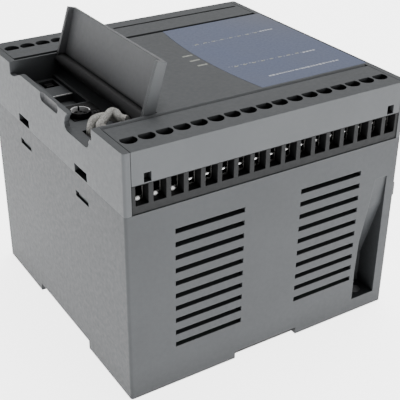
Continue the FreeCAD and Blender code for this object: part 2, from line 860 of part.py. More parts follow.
def port_socket_body():
    body = new_body("port_socket_body")
    centre = (d.socket_x, d.socket_y)
    block(body, "case", (-41.35, -31.85), (-7.85, 2.35), (port_board_top, d.socket_top))
    drum(body, "collar", "Z", centre, (d.socket_top - 0.1, d.collar_top), d.collar_radius)
    drum(body, "mouth", "Z", centre, (d.socket_top - 3.5, d.collar_top), d.shell_radius, cut=True)
    drum(body, "insert", "Z", centre, (d.socket_top - 3.6, d.insert_top),
         d.shell_radius - d.shell_sheet - 0.4)
    for i, place in enumerate(contact_places()):
        drum(body, f"contact_hole_{i}", "Z", place, (d.socket_top - 3.0, d.insert_top),
             d.contact_radius + 0.05, cut=True)
    block(body, "trimmer_bay", (-35.1, -31.8), (-7.9, -3.5), (port_board_top, d.socket_top), cut=True)
    return body


def port_socket_shell():
    """A metal liner with one seam, sprung against the wall of the socket."""
    body = new_body("port_socket_shell")
    centre = (d.socket_x, d.socket_y)
    span = (d.socket_top - 3.5, d.collar_top - 0.15)
    drum(body, "liner", "Z", centre, span, d.shell_radius - 0.02)
    drum(body, "inside", "Z", centre, span, d.shell_radius - d.shell_sheet, cut=True)
    seam = new_feature(body, "SubtractiveBox", "seam")
    attach(body, seam, "Z", (d.socket_x, d.socket_y, d.socket_top - 3.5))
    seam.AttachmentOffset.Rotation = FreeCAD.Rotation(70, 0, 0)
    seam.Length, seam.Width, seam.Height = 4.0, 0.45, 6.0
    return body


def contact_places():
    """Centres of the contact holes on one ring of the insert."""
    count = 6
    turns = [2 * math.pi * i / count for i in range(count)]
    return [(d.socket_x + d.contact_ring * math.cos(turn), d.socket_y + d.contact_ring * math.sin(turn))
            for turn in turns]


def port_socket_contacts():
    """Tubes sunk in the insert of the socket."""
    body = new_body("port_socket_contacts")
    span = (d.socket_top - 3.0, d.insert_top - 0.3)
    for i, place in enumerate(contact_places()):
        drum(body, f"tube_{i}", "Z", place, span, d.contact_radius)
        drum(body, f"mouth_{i}", "Z", place, (d.socket_top - 2.6, d.insert_top - 0.3),
             d.contact_radius - 0.1, cut=True)
    return body


def trimmer_body():
    body = new_body("trimmer_body")
    block(body, "case", span_about(d.trimmer_x, 1.5), span_about(d.trimmer_y, 1.8),
          (port_board_top, d.socket_top))
    drum(body, "rotor_bore", "Z", (d.trimmer_x, d.trimmer_y), (d.socket_top - 1.2, d.socket_top),
         d.trimmer_radius + d.pin_gap, cut=True)
    return body


def trimmer_rotor():
    body = new_body("trimmer_rotor")
    centre = (d.trimmer_x, d.trimmer_y)
    top = d.socket_top + 0.3
    drum(body, "rotor", "Z", centre, (d.socket_top - 1.15, top), d.trimmer_radius)
    block(body, "slot", span_about(d.trimmer_x, 0.18), span_about(d.trimmer_y, d.trimmer_radius),
          (top - 0.5, top), cut=True)
    return body


# ---- electronics -------------------------------------------------------------------


def port_board():
    body = new_body("port_board")
    block(body, "sheet", (-42.0, -31.0), (-13.0, 26.9), (d.port_board_low, port_board_top))
    return body


def port_header():
    body = new_body("port_header")
    block(body, "strip", (-42.0, -39.0), (-5.0, 5.0), (board_top, d.port_board_low))
    return body


def cpu_board():
    body = new_body("cpu_board")
    edge_x, edge_y = inner_x - 0.5, inner_y - 0.75
    block(body, "sheet", (-edge_x, edge_x), (-edge_y, edge_y), (d.cpu_board_low, board_top))
    for name, side in (("near", -1), ("far", 1)):
        across = span_about(d.snap_centre * side, 3.8)
        for edge, x in (("left", (-edge_x - 1, -edge_x + 1.5)), ("right", (edge_x - 1.5, edge_x + 1))):
            block(body, f"arm_notch_{name}_{edge}", x, across, (d.cpu_board_low, board_top), cut=True)
    for i, place in enumerate(CPU_BOARD_SCREWS):
        drum(body, f"screw_hole_{i}", "Z", place, (d.cpu_board_low, board_top), 1.2, cut=True)
    slots_near = pin_slot(body, near_row.first, (d.cpu_board_low, board_top))
    near_row.repeat(body, "pin_slots_near", [slots_near])
    slots_far = pin_slot(body, -row_end, (d.cpu_board_low, board_top), side=1)
    far_row.repeat(body, "pin_slots_far", [slots_far])
    return body


def power_board():
    body = new_body("power_board")
    span = (d.power_board_low, d.power_board_low + d.board_sheet)
    edge_x, edge_y = inner_x - 0.7, inner_y - 0.5
    block(body, "sheet", (-edge_x, edge_x), (-edge_y, edge_y), span)
    notch = block(body, "column_notch", (31.2, edge_x + 1), (-edge_y - 1, -33.6), span, cut=True)
    half_turn(body, "column_notches", [notch])
    for i, place in enumerate(POWER_BOARD_SCREWS):
        drum(body, f"screw_hole_{i}", "Z", place, span, 1.3, cut=True)
    return body


def riser_board():
    body = new_body("riser_board")
    low = d.power_board_low + d.board_sheet
    block(body, "sheet", (33.4, 35.0), (-33.0, 33.0), (low, d.cpu_board_low))
    return body


def screws_at(label, places, level, radius, length):
    """Pan-head screws pointing down, with a cross drive, at board level."""
    body = new_body(label)
    for i, (x, y) in enumerate(places):
        drum(body, f"shank_{i}", "Z", (x, y), (level - length, level + 0.1), radius)
        drum(body, f"head_{i}", "Z", (x, y), (level, level + 1.4), radius * 1.9)
        for arm, half in (("a", (radius, 0.25)), ("b", (0.25, radius))):
            block(body, f"drive_{arm}_{i}", span_about(x, half[0]), span_about(y, half[1]),
                  (level + 0.7, level + 1.4), cut=True)
    return body


def power_board_screws():
    level = d.power_board_low + d.board_sheet
    return screws_at("power_board_screws", POWER_BOARD_SCREWS, level, 0.97, 6.5)


def cpu_board_screws():
    return screws_at("cpu_board_screws", CPU_BOARD_SCREWS, board_top, 0.87, 6.5)


def relays():
    body = new_body("relays")
    low = d.power_board_low + d.board_sheet
    case = block(body, "case", (-30.0, -24.0), (-33.0, -13.0), (low, low + 15))
    repeat(body, "cases", [case], "X", 50.0, 6)
    return body


def transformer_core():
    body = new_body("transformer_core")
    low = d.power_board_low + d.board_sheet
    block(body, "core", (-34.0, -8.0), (8.0, 22.0), (low, low + 20))
    for name, x in (("left", (-30.5, -23.5)), ("right", (-18.5, -11.5))):
        block(body, f"window_{name}", x, (7.0, 23.0), (low + 4, low + 16), cut=True)
    return body


def transformer_winding():
    body = new_body("transformer_winding")
    low = d.power_board_low + d.board_sheet + 4.2
    block(body, "coil", (-30.3, -11.7), (4.0, 26.0), (low, low + 11.6))
    block(body, "limb", (-23.7, -18.3), (3.0, 27.0), (low - 1, low + 13), cut=True)
    for name, y in (("near", (4.0, 7.8)), ("far", (22.2, 26.0))):
        block(body, f"turn_{name}", (-24.0, -18.0), y, (low, low + 11.6))
    return body


def capacitors():
    body = new_body("capacitors")
    low = d.power_board_low + d.board_sheet
    for i, (x, y) in enumerate(((4.0, 6.0), (4.0, 20.0), (18.0, 13.0))):
        drum(body, f"can_{i}", "Z", (x, y), (low, low + 20), 5.5)
    return body


def cpu_chip():
    body = new_body("cpu_chip")
    block(body, "package", (-24.0, -8.0), (-8.0, 8.0), (board_top, board_top + 1.4))
    return body


def optocouplers():
    body = new_body("optocouplers")
    package = block(body, "package", (-30.0, -25.4), (26.5, 33.0), (51.2, d.cpu_board_low))
    repeat(body, "packages", [package], "X", 49.0, 8)
    return body


def status_leds():
    """Chip lamps on the processor board under the light pipes."""
    body = new_body("status_leds")
    span = (board_top, board_top + 0.8)
    lamp = block(body, "lamp", (1.2, 2.8), span_about(d.status_first, 0.4), span)
    repeat(body, "lamps", [lamp], "Y", d.status_pitch * 2, 3).Reversed = True
    for row, y in (("near", d.io_near_row), ("far", d.io_far_row)):
        lamp = block(body, f"io_lamp_{row}", (9.0, 10.6), span_about(y, 0.4), span)
        count = DIMENSIONS["io_count"]
        repeat(body, f"io_lamps_{row}", [lamp], "X", d.io_pitch * (count - 1), count)
    return body


# ---- rail latch, expansion port and cord ---------------------------------------------


def rail_latch():
    """A slider whose nose holds the near edge of the rail."""
    body = new_body("rail_latch")
    half = d.latch_slot_width / 2 - 0.2
    seat = -d.rail_seat_width / 2
    top = d.latch_slot_depth - d.latch_gap
    block(body, "plate", (-half, half), (-half_h + d.latch_tail, seat), (d.latch_gap, top))
    wide = half + d.latch_groove - 0.05
    block(body, "runners", (-wide, wide), (-36.0, seat), (1.4, top))
    nose = ((seat - 0.1, d.latch_gap), (seat + 1.2, d.latch_gap), (seat + 1.2, 0.7),
            (seat + 0.7, 1.2), (seat - 0.1, 1.2))
    extrude(body, "nose", "X", nose, (-half, half))
    block(body, "driver_slot", (-3.0, 3.0), (-41.0, -39.6), (0, top + 0.1), cut=True)
    return body


def expansion_cover():
    body = new_body("expansion_cover")
    block(body, "face", (half_w, half_w + d.bump), (-42.6, -17.6), (d.bump_low, d.bump_high))
    round_edges(body, "soft_ends", lambda e: e.BoundBox.XLength > 1 and e.BoundBox.YLength < 0.01, 0.6)
    block(body, "plug", (inner_x + 0.3, half_w + 0.1), (-33.0, -18.6),
          (d.bump_low + 0.8, d.bump_high - 0.8))
    return body


def expansion_connector():
    body = new_body("expansion_connector")
    block(body, "shroud", (35.0, 43.5), (-32.9, -18.7), (d.bump_low + 0.3, d.bump_high - 0.3))
    block(body, "slot", (37.0, 43.6), (-31.9, -19.7), (d.bump_low + 1.1, d.bump_high - 1.1), cut=True)
    return body


def cord_grommet():
    body = new_body("cord_grommet")
    block(body, "neck", span_about(d.cord_x, 1.2), span_about(d.cord_y, 1.5),
          (d.well_base - 0.6, d.pit_level + 0.1))
    block(body, "flange", span_about(d.cord_x, 1.3), span_about(d.cord_y, 1.9),
          (d.pit_level, d.pit_level + 0.6))
    return body


CORD_ROUTE = (
    (-40.8, -16.3, 66.6),
    (-40.8, -16.2, 72.3),
    (-37.9, -15.6, 73.0),
    (-34.9, -15.3, 72.4),
)


def cord_lead():
    """A tube along straight runs with the largest arcs that the runs allow."""
    points = [FreeCAD.Vector(*p) for p in CORD_ROUTE]
    radius = number(d.cord_diameter) / 2
    edges = []
    start = points[0]
    for before, corner, after in zip(points, points[1:], points[2:]):
        inward = (before - corner).normalize()
        onward = (after - corner).normalize()
        half_angle = (math.pi - inward.getAngle(onward)) / 2
        cutback = 0.45 * min((before - corner).Length, (after - corner).Length)
        print(f"cord arc radius {cutback / math.tan(half_angle):.2f} mm")
        entry, leave = corner + inward * cutback, corner + onward * cutback
        bisector = (inward + onward).normalize()
        bend = cutback / math.tan(half_angle)
        middle = corner + bisector * (bend / math.cos(half_angle) - bend)
        edges += [Part.LineSegment(start, entry).toShape(), Part.Arc(entry, middle, leave).toShape()]
        start = leave
    edges.append(Part.LineSegment(start, points[-1]).toShape())
    path = Part.Wire(edges)
    section = Part.Wire(Part.makeCircle(radius, points[0], points[1] - points[0]))
    tube = path.makePipeShell([section], True, False)
    expected = math.pi * radius ** 2 * path.Length
    print(f"cord volume {tube.Volume:.3f} mm3, section times length {expected:.3f} mm3")
    lead = doc.addObject("Part::Feature", "cord_lead")
    lead.Label = "cord_lead"
    lead.Shape = tube
    return lead


def cord_knot():
    """The outer shape of the knotted end."""
    knot = doc.addObject("Part::Ellipsoid", "cord_knot")
    knot.Label = "cord_knot"
    knot.Radius1, knot.Radius2, knot.Radius3 = 2.9, 3.4, 3.7
    knot.Placement = FreeCAD.Placement(FreeCAD.Vector(-34.7, -17.6, 71.3), FreeCAD.Rotation())
    return knot


def build_all():
    pieces = [rear_housing(), front_cover(), panel_label(), status_light_pipes(), io_light_pipes()]
    for make in (terminal_cover, terminal_block, terminal_screws, wire_clamps, terminal_pins):
        pieces += [make(near_row), turn_to_far_side(make(far_row))]
    pieces += [
        port_door(), mode_switch_body(), mode_switch_knob(), port_socket_body(), port_socket_shell(),
        port_socket_contacts(), trimmer_body(), trimmer_rotor(), port_board(), port_header(),
        cpu_board(), power_board(), riser_board(), power_board_screws(), cpu_board_screws(),
        relays(), transformer_core(), transformer_winding(), capacitors(), cpu_chip(),
        optocouplers(), status_leds(), rail_latch(), expansion_cover(), expansion_connector(),
        cord_grommet(), cord_lead(), cord_knot(),
    ]
    return pieces


def check(pieces):
    """Stops on a failed feature or a shape that is missing or invalid."""
    failed = [o.Name for o in doc.Objects if {"Invalid", "Error"} & set(o.State)]
    if failed:
        raise RuntimeError(f"failed features: {failed}")
    for piece in pieces:
        if piece.Shape.isNull() or not piece.Shape.isValid() or not piece.Shape.Solids:
            raise RuntimeError(f"{piece.Label} has no valid solid")


def export(pieces):
    os.makedirs("parts", exist_ok=True)
    for piece in pieces:
        piece.Shape.exportStep(os.path.join("parts", f"{piece.Label}.step"))
        solids = len(piece.Shape.Solids)
        print(f"{piece.Label}: {solids} solid(s), {piece.Shape.Volume:.1f} mm3")


all_pieces = build_all()
doc.recompute()
check(all_pieces)
export(all_pieces)
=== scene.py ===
import json
import math
import random

import bmesh
import bpy
from mathutils import Matrix, Vector


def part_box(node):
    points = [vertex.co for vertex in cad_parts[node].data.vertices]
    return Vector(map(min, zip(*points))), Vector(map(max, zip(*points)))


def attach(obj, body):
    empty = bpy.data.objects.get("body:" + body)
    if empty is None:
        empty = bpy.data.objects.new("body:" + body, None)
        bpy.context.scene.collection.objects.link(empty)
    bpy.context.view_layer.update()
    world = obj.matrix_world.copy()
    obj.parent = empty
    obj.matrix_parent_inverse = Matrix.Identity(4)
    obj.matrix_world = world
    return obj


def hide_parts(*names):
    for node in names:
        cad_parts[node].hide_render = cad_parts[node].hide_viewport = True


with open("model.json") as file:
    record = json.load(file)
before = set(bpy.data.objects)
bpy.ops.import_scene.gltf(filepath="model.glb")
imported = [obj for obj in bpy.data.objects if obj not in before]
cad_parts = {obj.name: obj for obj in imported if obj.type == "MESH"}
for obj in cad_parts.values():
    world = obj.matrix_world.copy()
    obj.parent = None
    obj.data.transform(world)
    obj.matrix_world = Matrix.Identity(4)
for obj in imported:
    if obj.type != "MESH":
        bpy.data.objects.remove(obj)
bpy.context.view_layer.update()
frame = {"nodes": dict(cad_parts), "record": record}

MM = 0.001

# ---- camera and studio --------------------------------------------------------

VIEW_AZIMUTH = -32.394
VIEW_ELEVATION = 29.395
VIEW_ROLL = 0.574
VIEW_DISTANCE = 300.612 * MM
VIEW_RIGHT = 3.775 * MM
VIEW_UP = 25.356 * MM
LENS_MM = 80.0
SENSOR_MM = 36.0
HORIZON_GLOW = 1.0
ZENITH_GLOW = 0.35
LEFT_GLOW = 0.0
FLOOR_GLOW = 3.8
FLOOR_REACH = 4.0
FLOOR_GREY = 0.93
LIGHT_TARGET = (0, 0, 0.035)


def view_axes():
    """Right, up and backward directions of the camera, before its small roll."""
    azimuth, elevation = math.radians(VIEW_AZIMUTH), math.radians(VIEW_ELEVATION)
    back = Vector((
        math.sin(azimuth) * math.cos(elevation),
        -math.cos(azimuth) * math.cos(elevation),
        math.sin(elevation),
    ))
    right = Vector((0, 0, 1)).cross(back).normalized()
    return right, back.cross(right), back


def add_camera():
    right, up, back = view_axes()
    roll = math.radians(VIEW_ROLL)
    rolled_right = right * math.cos(roll) + up * math.sin(roll)
    rolled_up = up * math.cos(roll) - right * math.sin(roll)
    place = back * VIEW_DISTANCE + rolled_right * VIEW_RIGHT + rolled_up * VIEW_UP
    data = bpy.data.cameras.new("studio_camera")
    data.lens = LENS_MM
    data.sensor_width = SENSOR_MM
    data.clip_start = 0.01
    data.clip_end = 20
    camera = bpy.data.objects.new("studio_camera", data)
    turn = Matrix((rolled_right, rolled_up, back)).transposed().to_4x4()
    camera.matrix_world = Matrix.Translation(place) @ turn
    bpy.context.scene.collection.objects.link(camera)
    bpy.context.scene.camera = camera


def add_area_light(name, place, size, power):
    data = bpy.data.lights.new(name, "AREA")
    data.shape = "RECTANGLE"
    data.size, data.size_y = size
    data.energy = power
    lamp = bpy.data.objects.new(name, data)
    lamp.location = place
    lamp.rotation_euler = (Vector(LIGHT_TARGET) - Vector(place)).to_track_quat("-Z", "Y").to_euler()
    bpy.context.scene.collection.objects.link(lamp)


def world_ramp(nodes, links, value, span, output):
    ramp = nodes.new("ShaderNodeMapRange")
    ramp.inputs["From Min"].default_value, ramp.inputs["From Max"].default_value = span
    ramp.inputs["To Min"].default_value, ramp.inputs["To Max"].default_value = output
    links.new(value, ramp.inputs["Value"])
    return ramp.outputs["Result"]


def add_world():
    """A soft surround, bright at the horizon, dimmer overhead and unlit on the left."""
    world = bpy.data.worlds.new("studio_world")
    bpy.context.scene.world = world
    world.use_nodes = True
    nodes, links = world.node_tree.nodes, world.node_tree.links
    parts = nodes.new("ShaderNodeSeparateXYZ")
    links.new(nodes.new("ShaderNodeTexCoord").outputs["Generated"], parts.inputs["Vector"])
    height = world_ramp(nodes, links, parts.outputs["Z"], (0.05, 0.55), (HORIZON_GLOW, ZENITH_GLOW))
    side = world_ramp(nodes, links, parts.outputs["X"], (-0.8, 0.2), (LEFT_GLOW, 1.0))
    strength = nodes.new("ShaderNodeMath")
    strength.operation = "MULTIPLY"
    links.new(height, strength.inputs[0])
    links.new(side, strength.inputs[1])
    links.new(strength.outputs["Value"], nodes["Background"].inputs["Strength"])
    nodes["Background"].inputs["Color"].default_value = (1, 1, 1, 1)


def add_floor():
    """A plain pale table, evenly lit from within."""
    mesh = bpy.data.meshes.new("studio_floor")
    corners = [(x * FLOOR_REACH, y * FLOOR_REACH, 0) for x, y in ((-1, -1), (1, -1), (1, 1), (-1, 1))]
    mesh.from_pydata(corners, [], [(0, 1, 2, 3)])
    floor = bpy.data.objects.new("studio_floor", mesh)
    bpy.context.scene.collection.objects.link(floor)
    s = Shader("pale_floor", 0.9, specular=0.1)
    s.surface.inputs["Base Color"].default_value = (FLOOR_GREY, FLOOR_GREY, FLOOR_GREY, 1)
    s.surface.inputs["Emission Color"].default_value = (1, 1, 1, 1)
    s.surface.inputs["Emission Strength"].default_value = FLOOR_GLOW
    mesh.materials.append(s.material)


def add_studio():
    add_world()
    add_floor()
    add_area_light("front_soft", place=(0.35, -0.75, 0.15), size=(0.8, 0.5), power=5)
    add_area_light("top_soft", place=(0.25, 0.25, 0.90), size=(0.7, 0.7), power=10)


# ---- materials ------------------------------------------------------------------

HINGE = (-29.5, 74.1)
DOOR_ANGLE = 105.3
DOOR_SKIN = 0.75
DOOR_BARREL = 2.2
DOOR_NEAR_EDGE = -25.8
# Direction and offset that split the socket liner into a painted lit far half and a painted shaded near
# half.
LINER_FACING = (0.536, 0.844)
LINER_EDGE = 0.3
# Boxes in millimetres for the painted shade in the finger dish and the painted highlight on one step edge
# of the port well.
FINGER_DISH_SHADE = ((-45.66, -7.2, 71.8), (-44.4, 5.2, 74.69))
STEP_EDGE_HIGHLIGHT = ((-44.1, 13.3, 68.0), (-32.0, 13.7, 68.45))
MOULDED_EDGE = 0.25
MOULDED_MOTTLE = 0.06
METAL_EDGE = 0.08
METAL_TARNISH = 0.25
METAL_SHADE_REACH = 5.0
METAL_SHADE_DEPTH = 0.1


def linear(srgb):
    """An sRGB colour from 0 to 255 as the linear colour that a shader takes."""
    def curve(value):
        value /= 255
        return value / 12.92 if value <= 0.04045 else ((value + 0.055) / 1.055) ** 2.4
    return tuple(curve(v) for v in srgb) + (1,)


class Shader:
    """Small helper around one material's node tree."""

    def __init__(self, name, roughness, metallic=0.0, specular=0.5):
        self.material = bpy.data.materials.new(name)
        self.material.use_nodes = True
        self.nodes = self.material.node_tree.nodes
        self.links = self.material.node_tree.links
        self.surface = self.nodes["Principled BSDF"]
        self.surface.inputs["Roughness"].default_value = roughness
        self.surface.inputs["Metallic"].default_value = metallic
        self.surface.inputs["Specular IOR Level"].default_value = specular
        self.place = self.nodes.new("ShaderNodeTexCoord").outputs["Object"]

    def noise(self, scale, detail=2.0, rough=0.5, stretch=None):
        node = self.nodes.new("ShaderNodeTexNoise")
        node.inputs["Scale"].default_value = scale
        node.inputs["Detail"].default_value = detail
        node.inputs["Roughness"].default_value = rough
        place = self.place
        if stretch:
            mapping = self.nodes.new("ShaderNodeMapping")
            mapping.inputs["Scale"].default_value = stretch
            self.links.new(self.place, mapping.inputs["Vector"])
            place = mapping.outputs["Vector"]
        self.links.new(place, node.inputs["Vector"])
        return node.outputs["Fac"]

    def span(self, value, low, high, out_low=0.0, out_high=1.0):
        node = self.nodes.new("ShaderNodeMapRange")
        node.inputs["From Min"].default_value = low
        node.inputs["From Max"].default_value = high
        node.inputs["To Min"].default_value = out_low
        node.inputs["To Max"].default_value = out_high
        self.links.new(value, node.inputs["Value"])
        return node.outputs["Result"]

    def mix(self, share, first, second, blend="MIX"):
        node = self.nodes.new("ShaderNodeMix")
        node.data_type = "RGBA"
        node.blend_type = blend
        colours = [s for s in node.inputs if s.type == "RGBA"]
        for socket, colour in zip(colours, (first, second)):
            if isinstance(colour, tuple):
                socket.default_value = colour
            else:
                self.links.new(colour, socket)
        if isinstance(share, float):
            node.inputs["Factor"].default_value = share
        else:
            self.links.new(share, node.inputs["Factor"])
        return next(s for s in node.outputs if s.type == "RGBA")

    def maths(self, operation, *values):
        node = self.nodes.new("ShaderNodeMath")
        node.operation = operation
        for socket, value in zip(node.inputs, values):
            if isinstance(value, (int, float)):
                socket.default_value = value
            else:
                self.links.new(value, socket)
        return node.outputs["Value"]

    def inside(self, low, high):
        """A mask that is 1 inside a box given in millimetres."""
        masks = [
            self.maths("COMPARE", self.axis(letter), (a + b) / 2 * MM, (b - a) / 2 * MM)
            for letter, a, b in zip("XYZ", low, high)
        ]
        return self.maths("MULTIPLY", self.maths("MULTIPLY", masks[0], masks[1]), masks[2])

    def axis(self, letter):
        node = self.nodes.new("ShaderNodeSeparateXYZ")
        self.links.new(self.place, node.inputs["Vector"])
        return node.outputs[letter]

    def soft_edges(self, radius):
        """Normals rounded over sharp edges, and a mask that is 1 at those edges."""
        bevel = self.nodes.new("ShaderNodeBevel")
        bevel.samples = 6
        bevel.inputs["Radius"].default_value = radius
        flat = self.nodes.new("ShaderNodeNewGeometry").outputs["Normal"]
        dot = self.nodes.new("ShaderNodeVectorMath")
        dot.operation = "DOT_PRODUCT"
        self.links.new(bevel.outputs["Normal"], dot.inputs[0])
        self.links.new(flat, dot.inputs[1])
        return bevel.outputs["Normal"], self.span(dot.outputs["Value"], 0.985, 0.80)

    def paint_shade(self, body, reach, depth):
        """Paints shade into a colour inside holes, corners and recesses."""
        node = self.nodes.new("ShaderNodeAmbientOcclusion")
        node.samples = 8
        node.inputs["Distance"].default_value = reach
        share = self.span(node.outputs["AO"], 0.15, 0.85)
        dark = self.mix(1.0, body, (depth, depth, depth, 1), blend="MULTIPLY")
        return self.mix(share, dark, body)

    def bump(self, height, distance, strength=1.0, normal=None):
        """Surface relief over the rounded normals, with its depth in metres."""
        node = self.nodes.new("ShaderNodeBump")
        node.inputs["Strength"].default_value = strength
        node.inputs["Distance"].default_value = distance
        self.links.new(height, node.inputs["Height"])
        if normal is not None:
            self.links.new(normal, node.inputs["Normal"])
        self.links.new(node.outputs["Normal"], self.surface.inputs["Normal"])

    def colour(self, socket):
        self.links.new(socket, self.surface.inputs["Base Color"])

    def rough(self, socket):
        self.links.new(socket, self.surface.inputs["Roughness"])


def scaled(colour, factor):
    return tuple(c * factor for c in colour[:3]) + (1,)


def moulded(name, base, roughness=0.55, grain=0.012, wear=0.35, specular=0.2, reach=9.0, depth=0.3,
            painted_light=None):
    """Spark-textured plastic with a slightly polished, paler edge and painted shade in its hollows."""
    s = Shader(name, roughness, specular=specular)
    darker = scaled(base, 1 - MOULDED_MOTTLE)
    paler = tuple(min(1, c) for c in scaled(base, 1 + MOULDED_MOTTLE))
    broad = s.span(s.noise(45, 3, 0.6), 0.3, 0.7)
    speck = s.span(s.noise(2600, 2, 0.6), 0.35, 0.65)
    body = s.mix(broad, darker, paler)
    body = s.mix(s.maths("MULTIPLY", speck, 0.22), body, scaled(base, 0.9))
    # An optional function paints light or shade onto the colour here.
    if painted_light:
        body = painted_light(s, body)
    normal, edge = s.soft_edges(MOULDED_EDGE * MM)
    worn = tuple(min(1, c * 1.45 + 0.01) for c in base[:3]) + (1,)
    body = s.mix(s.maths("MULTIPLY", edge, wear), body, worn)
    # Painted shade in holes, corners and recesses.
    s.colour(s.paint_shade(body, reach * MM, depth))
    s.rough(s.span(s.noise(700, 3, 0.6), 0.3, 0.7, roughness - 0.06, roughness + 0.08))
    s.bump(s.noise(4200, 3, 0.7), grain * MM, 1.0, normal)
    return s.material


def metal(name, base, roughness, brushed=(1, 1, 1)):
    """Bare metal with fine drawing lines, a little dullness and painted shade in its hollows."""
    s = Shader(name, roughness, metallic=1.0)
    lines = s.noise(1500, 3, 0.6, stretch=brushed)
    dull = scaled(base, 1 - METAL_TARNISH)
    normal, edge = s.soft_edges(METAL_EDGE * MM)
    body = s.mix(s.span(s.noise(220, 3, 0.6), 0.35, 0.7), base, dull)
    polished = tuple(min(1, c) for c in scaled(base, 1.2))
    body = s.mix(s.maths("MULTIPLY", edge, 0.3), body, polished)
    # Painted shade in the hollows of the metal.
    s.colour(s.paint_shade(body, METAL_SHADE_REACH * MM, METAL_SHADE_DEPTH))
    s.rough(s.span(lines, 0.3, 0.7, max(0.05, roughness - 0.08), roughness + 0.12))
    s.bump(lines, 0.004 * MM, 0.6, normal)
    return s.material


def door_painted_shade(s, body):
    """The inner face of the door is darker, most of all along its hinge, in painted shade."""
    swing = math.radians(DOOR_ANGLE)
    over = s.maths("ADD", s.axis("X"), -HINGE[0] * MM)
    above = s.maths("ADD", s.axis("Z"), -HINGE[1] * MM)
    along = s.maths("SUBTRACT", s.maths("MULTIPLY", over, math.cos(swing)),
                    s.maths("MULTIPLY", above, math.sin(swing)))
    height = s.maths("ADD", s.maths("MULTIPLY", over, math.sin(swing)),
                     s.maths("MULTIPLY", above, math.cos(swing)))
    inner = s.maths("LESS_THAN", height, DOOR_SKIN * MM)
    between = s.maths("GREATER_THAN", s.axis("Y"), DOOR_NEAR_EDGE * MM)
    # Painted shade over the inner face, between the end rims.
    body = s.mix(s.maths("MULTIPLY", inner, between), body, linear((84, 85, 87)))
    # Darker painted shade along the hinge barrel.
    barrel = s.maths("GREATER_THAN", along, -DOOR_BARREL * MM)
    return s.mix(s.maths("MULTIPLY", barrel, between), body, linear((44, 44, 45)))


def liner_painted_light(s, body):
    """Painted light on the socket liner: its far half bright, its near half dark in painted shade."""
    low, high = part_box("port_socket_shell")
    middle = [(a + b) / 2 for a, b in zip(low, high)]
    across = s.maths("MULTIPLY", s.maths("ADD", s.axis("X"), -middle[0]), LINER_FACING[0])
    along = s.maths("MULTIPLY", s.maths("ADD", s.axis("Y"), -middle[1]), LINER_FACING[1])
    # The far half keeps the white painted highlight; the near half takes painted shade.
    far = s.maths("GREATER_THAN", s.maths("ADD", across, along), LINER_EDGE * MM)
    return s.mix(far, linear((34, 34, 35)), body)


def cover_painted_light(s, body):
    """Painted shade in the finger dish, and a painted highlight along one step edge in the port well."""
    dish = s.inside(*FINGER_DISH_SHADE)
    edge = s.inside(*STEP_EDGE_HIGHLIGHT)
    # Painted shade in the dish, then a painted highlight on the step edge.
    body = s.mix(dish, body, linear((50, 51, 53)))
    return s.mix(edge, body, linear((250, 250, 250)))


def circuit_board(name):
    """Solder mask with faint traces under it."""
    s = Shader(name, 0.35)
    base, copper = linear((18, 78, 42)), linear((34, 104, 58))
    bricks = s.nodes.new("ShaderNodeTexBrick")
    bricks.inputs["Scale"].default_value = 420
    bricks.inputs["Mortar Size"].default_value = 0.03
    bricks.inputs["Color1"].default_value = base
    bricks.inputs["Color2"].default_value = scaled(base, 0.85)
    bricks.inputs["Mortar"].default_value = copper
    s.links.new(s.place, bricks.inputs["Vector"])
    s.colour(s.mix(s.span(s.noise(300), 0.4, 0.6, 0, 0.5), bricks.outputs["Color"], base))
    normal, _ = s.soft_edges(0.1 * MM)
    s.rough(s.span(s.noise(900), 0.3, 0.7, 0.28, 0.42))
    s.bump(bricks.outputs["Fac"], 0.01 * MM, 0.6, normal)
    return s.material


def label_film(name):
    """Grey-blue printed film that pales towards its far right corner under a painted sheen."""
    s = Shader(name, 0.42)
    blue, pale = linear((66, 77, 106)), linear((80, 84, 96))
    low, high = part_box("panel_label")
    across = s.span(s.axis("X"), low[0], high[0])
    along = s.span(s.axis("Y"), low[1], high[1])
    # Painted sheen, strongest at the far right corner.
    painted_sheen = s.maths("POWER", s.maths("MULTIPLY", across, along), 2.0)
    cloud = s.span(s.noise(60, 3), 0.3, 0.7, 0, 0.25)
    body = s.mix(s.maths("MAXIMUM", painted_sheen, cloud), blue, pale)
    normal, edge = s.soft_edges(0.06 * MM)
    s.colour(s.mix(s.maths("MULTIPLY", edge, 0.4), body, linear((120, 126, 140))))
    s.rough(s.span(s.noise(1200), 0.3, 0.7, 0.36, 0.5))
    s.bump(s.noise(3500, 2), 0.004 * MM, 1.0, normal)
    return s.material


def lens(name):
    """Milky light pipe."""
    s = Shader(name, 0.3)
    dull, milky = linear((128, 130, 124)), linear((148, 150, 142))
    s.colour(s.mix(s.span(s.noise(1800, 3), 0.3, 0.7), dull, milky))
    s.rough(s.span(s.noise(900), 0.3, 0.7, 0.22, 0.4))
    normal, _ = s.soft_edges(0.06 * MM)
    s.bump(s.noise(2500), 0.004 * MM, 1.0, normal)
    return s.material


def woven_sleeve(name):
    """Soft braided sleeve of the cord."""
    s = Shader(name, 0.85, specular=0.25)
    weave = s.nodes.new("ShaderNodeTexVoronoi")
    weave.inputs["Scale"].default_value = 2600
    s.links.new(s.place, weave.inputs["Vector"])
    pale, shade = linear((196, 195, 190)), linear((140, 139, 136))
    body = s.mix(s.span(weave.outputs["Distance"], 0.1, 0.7), pale, shade)
    s.colour(s.mix(s.span(s.noise(350, 3), 0.35, 0.7, 0, 0.4), body, linear((160, 158, 152))))
    s.rough(s.span(s.noise(1500), 0.3, 0.7, 0.75, 0.95))
    s.bump(weave.outputs["Distance"], -0.05 * MM, 0.8)
    return s.material


def white_painted_highlight(name, roughness, specular, painted_light=None):
    """A glossy white, a painted highlight that stands in for polished metal in full light."""
    return moulded(name, linear((252, 252, 252)), roughness=roughness, wear=0.0, grain=0.002,
                   specular=specular, depth=0.95, painted_light=painted_light)


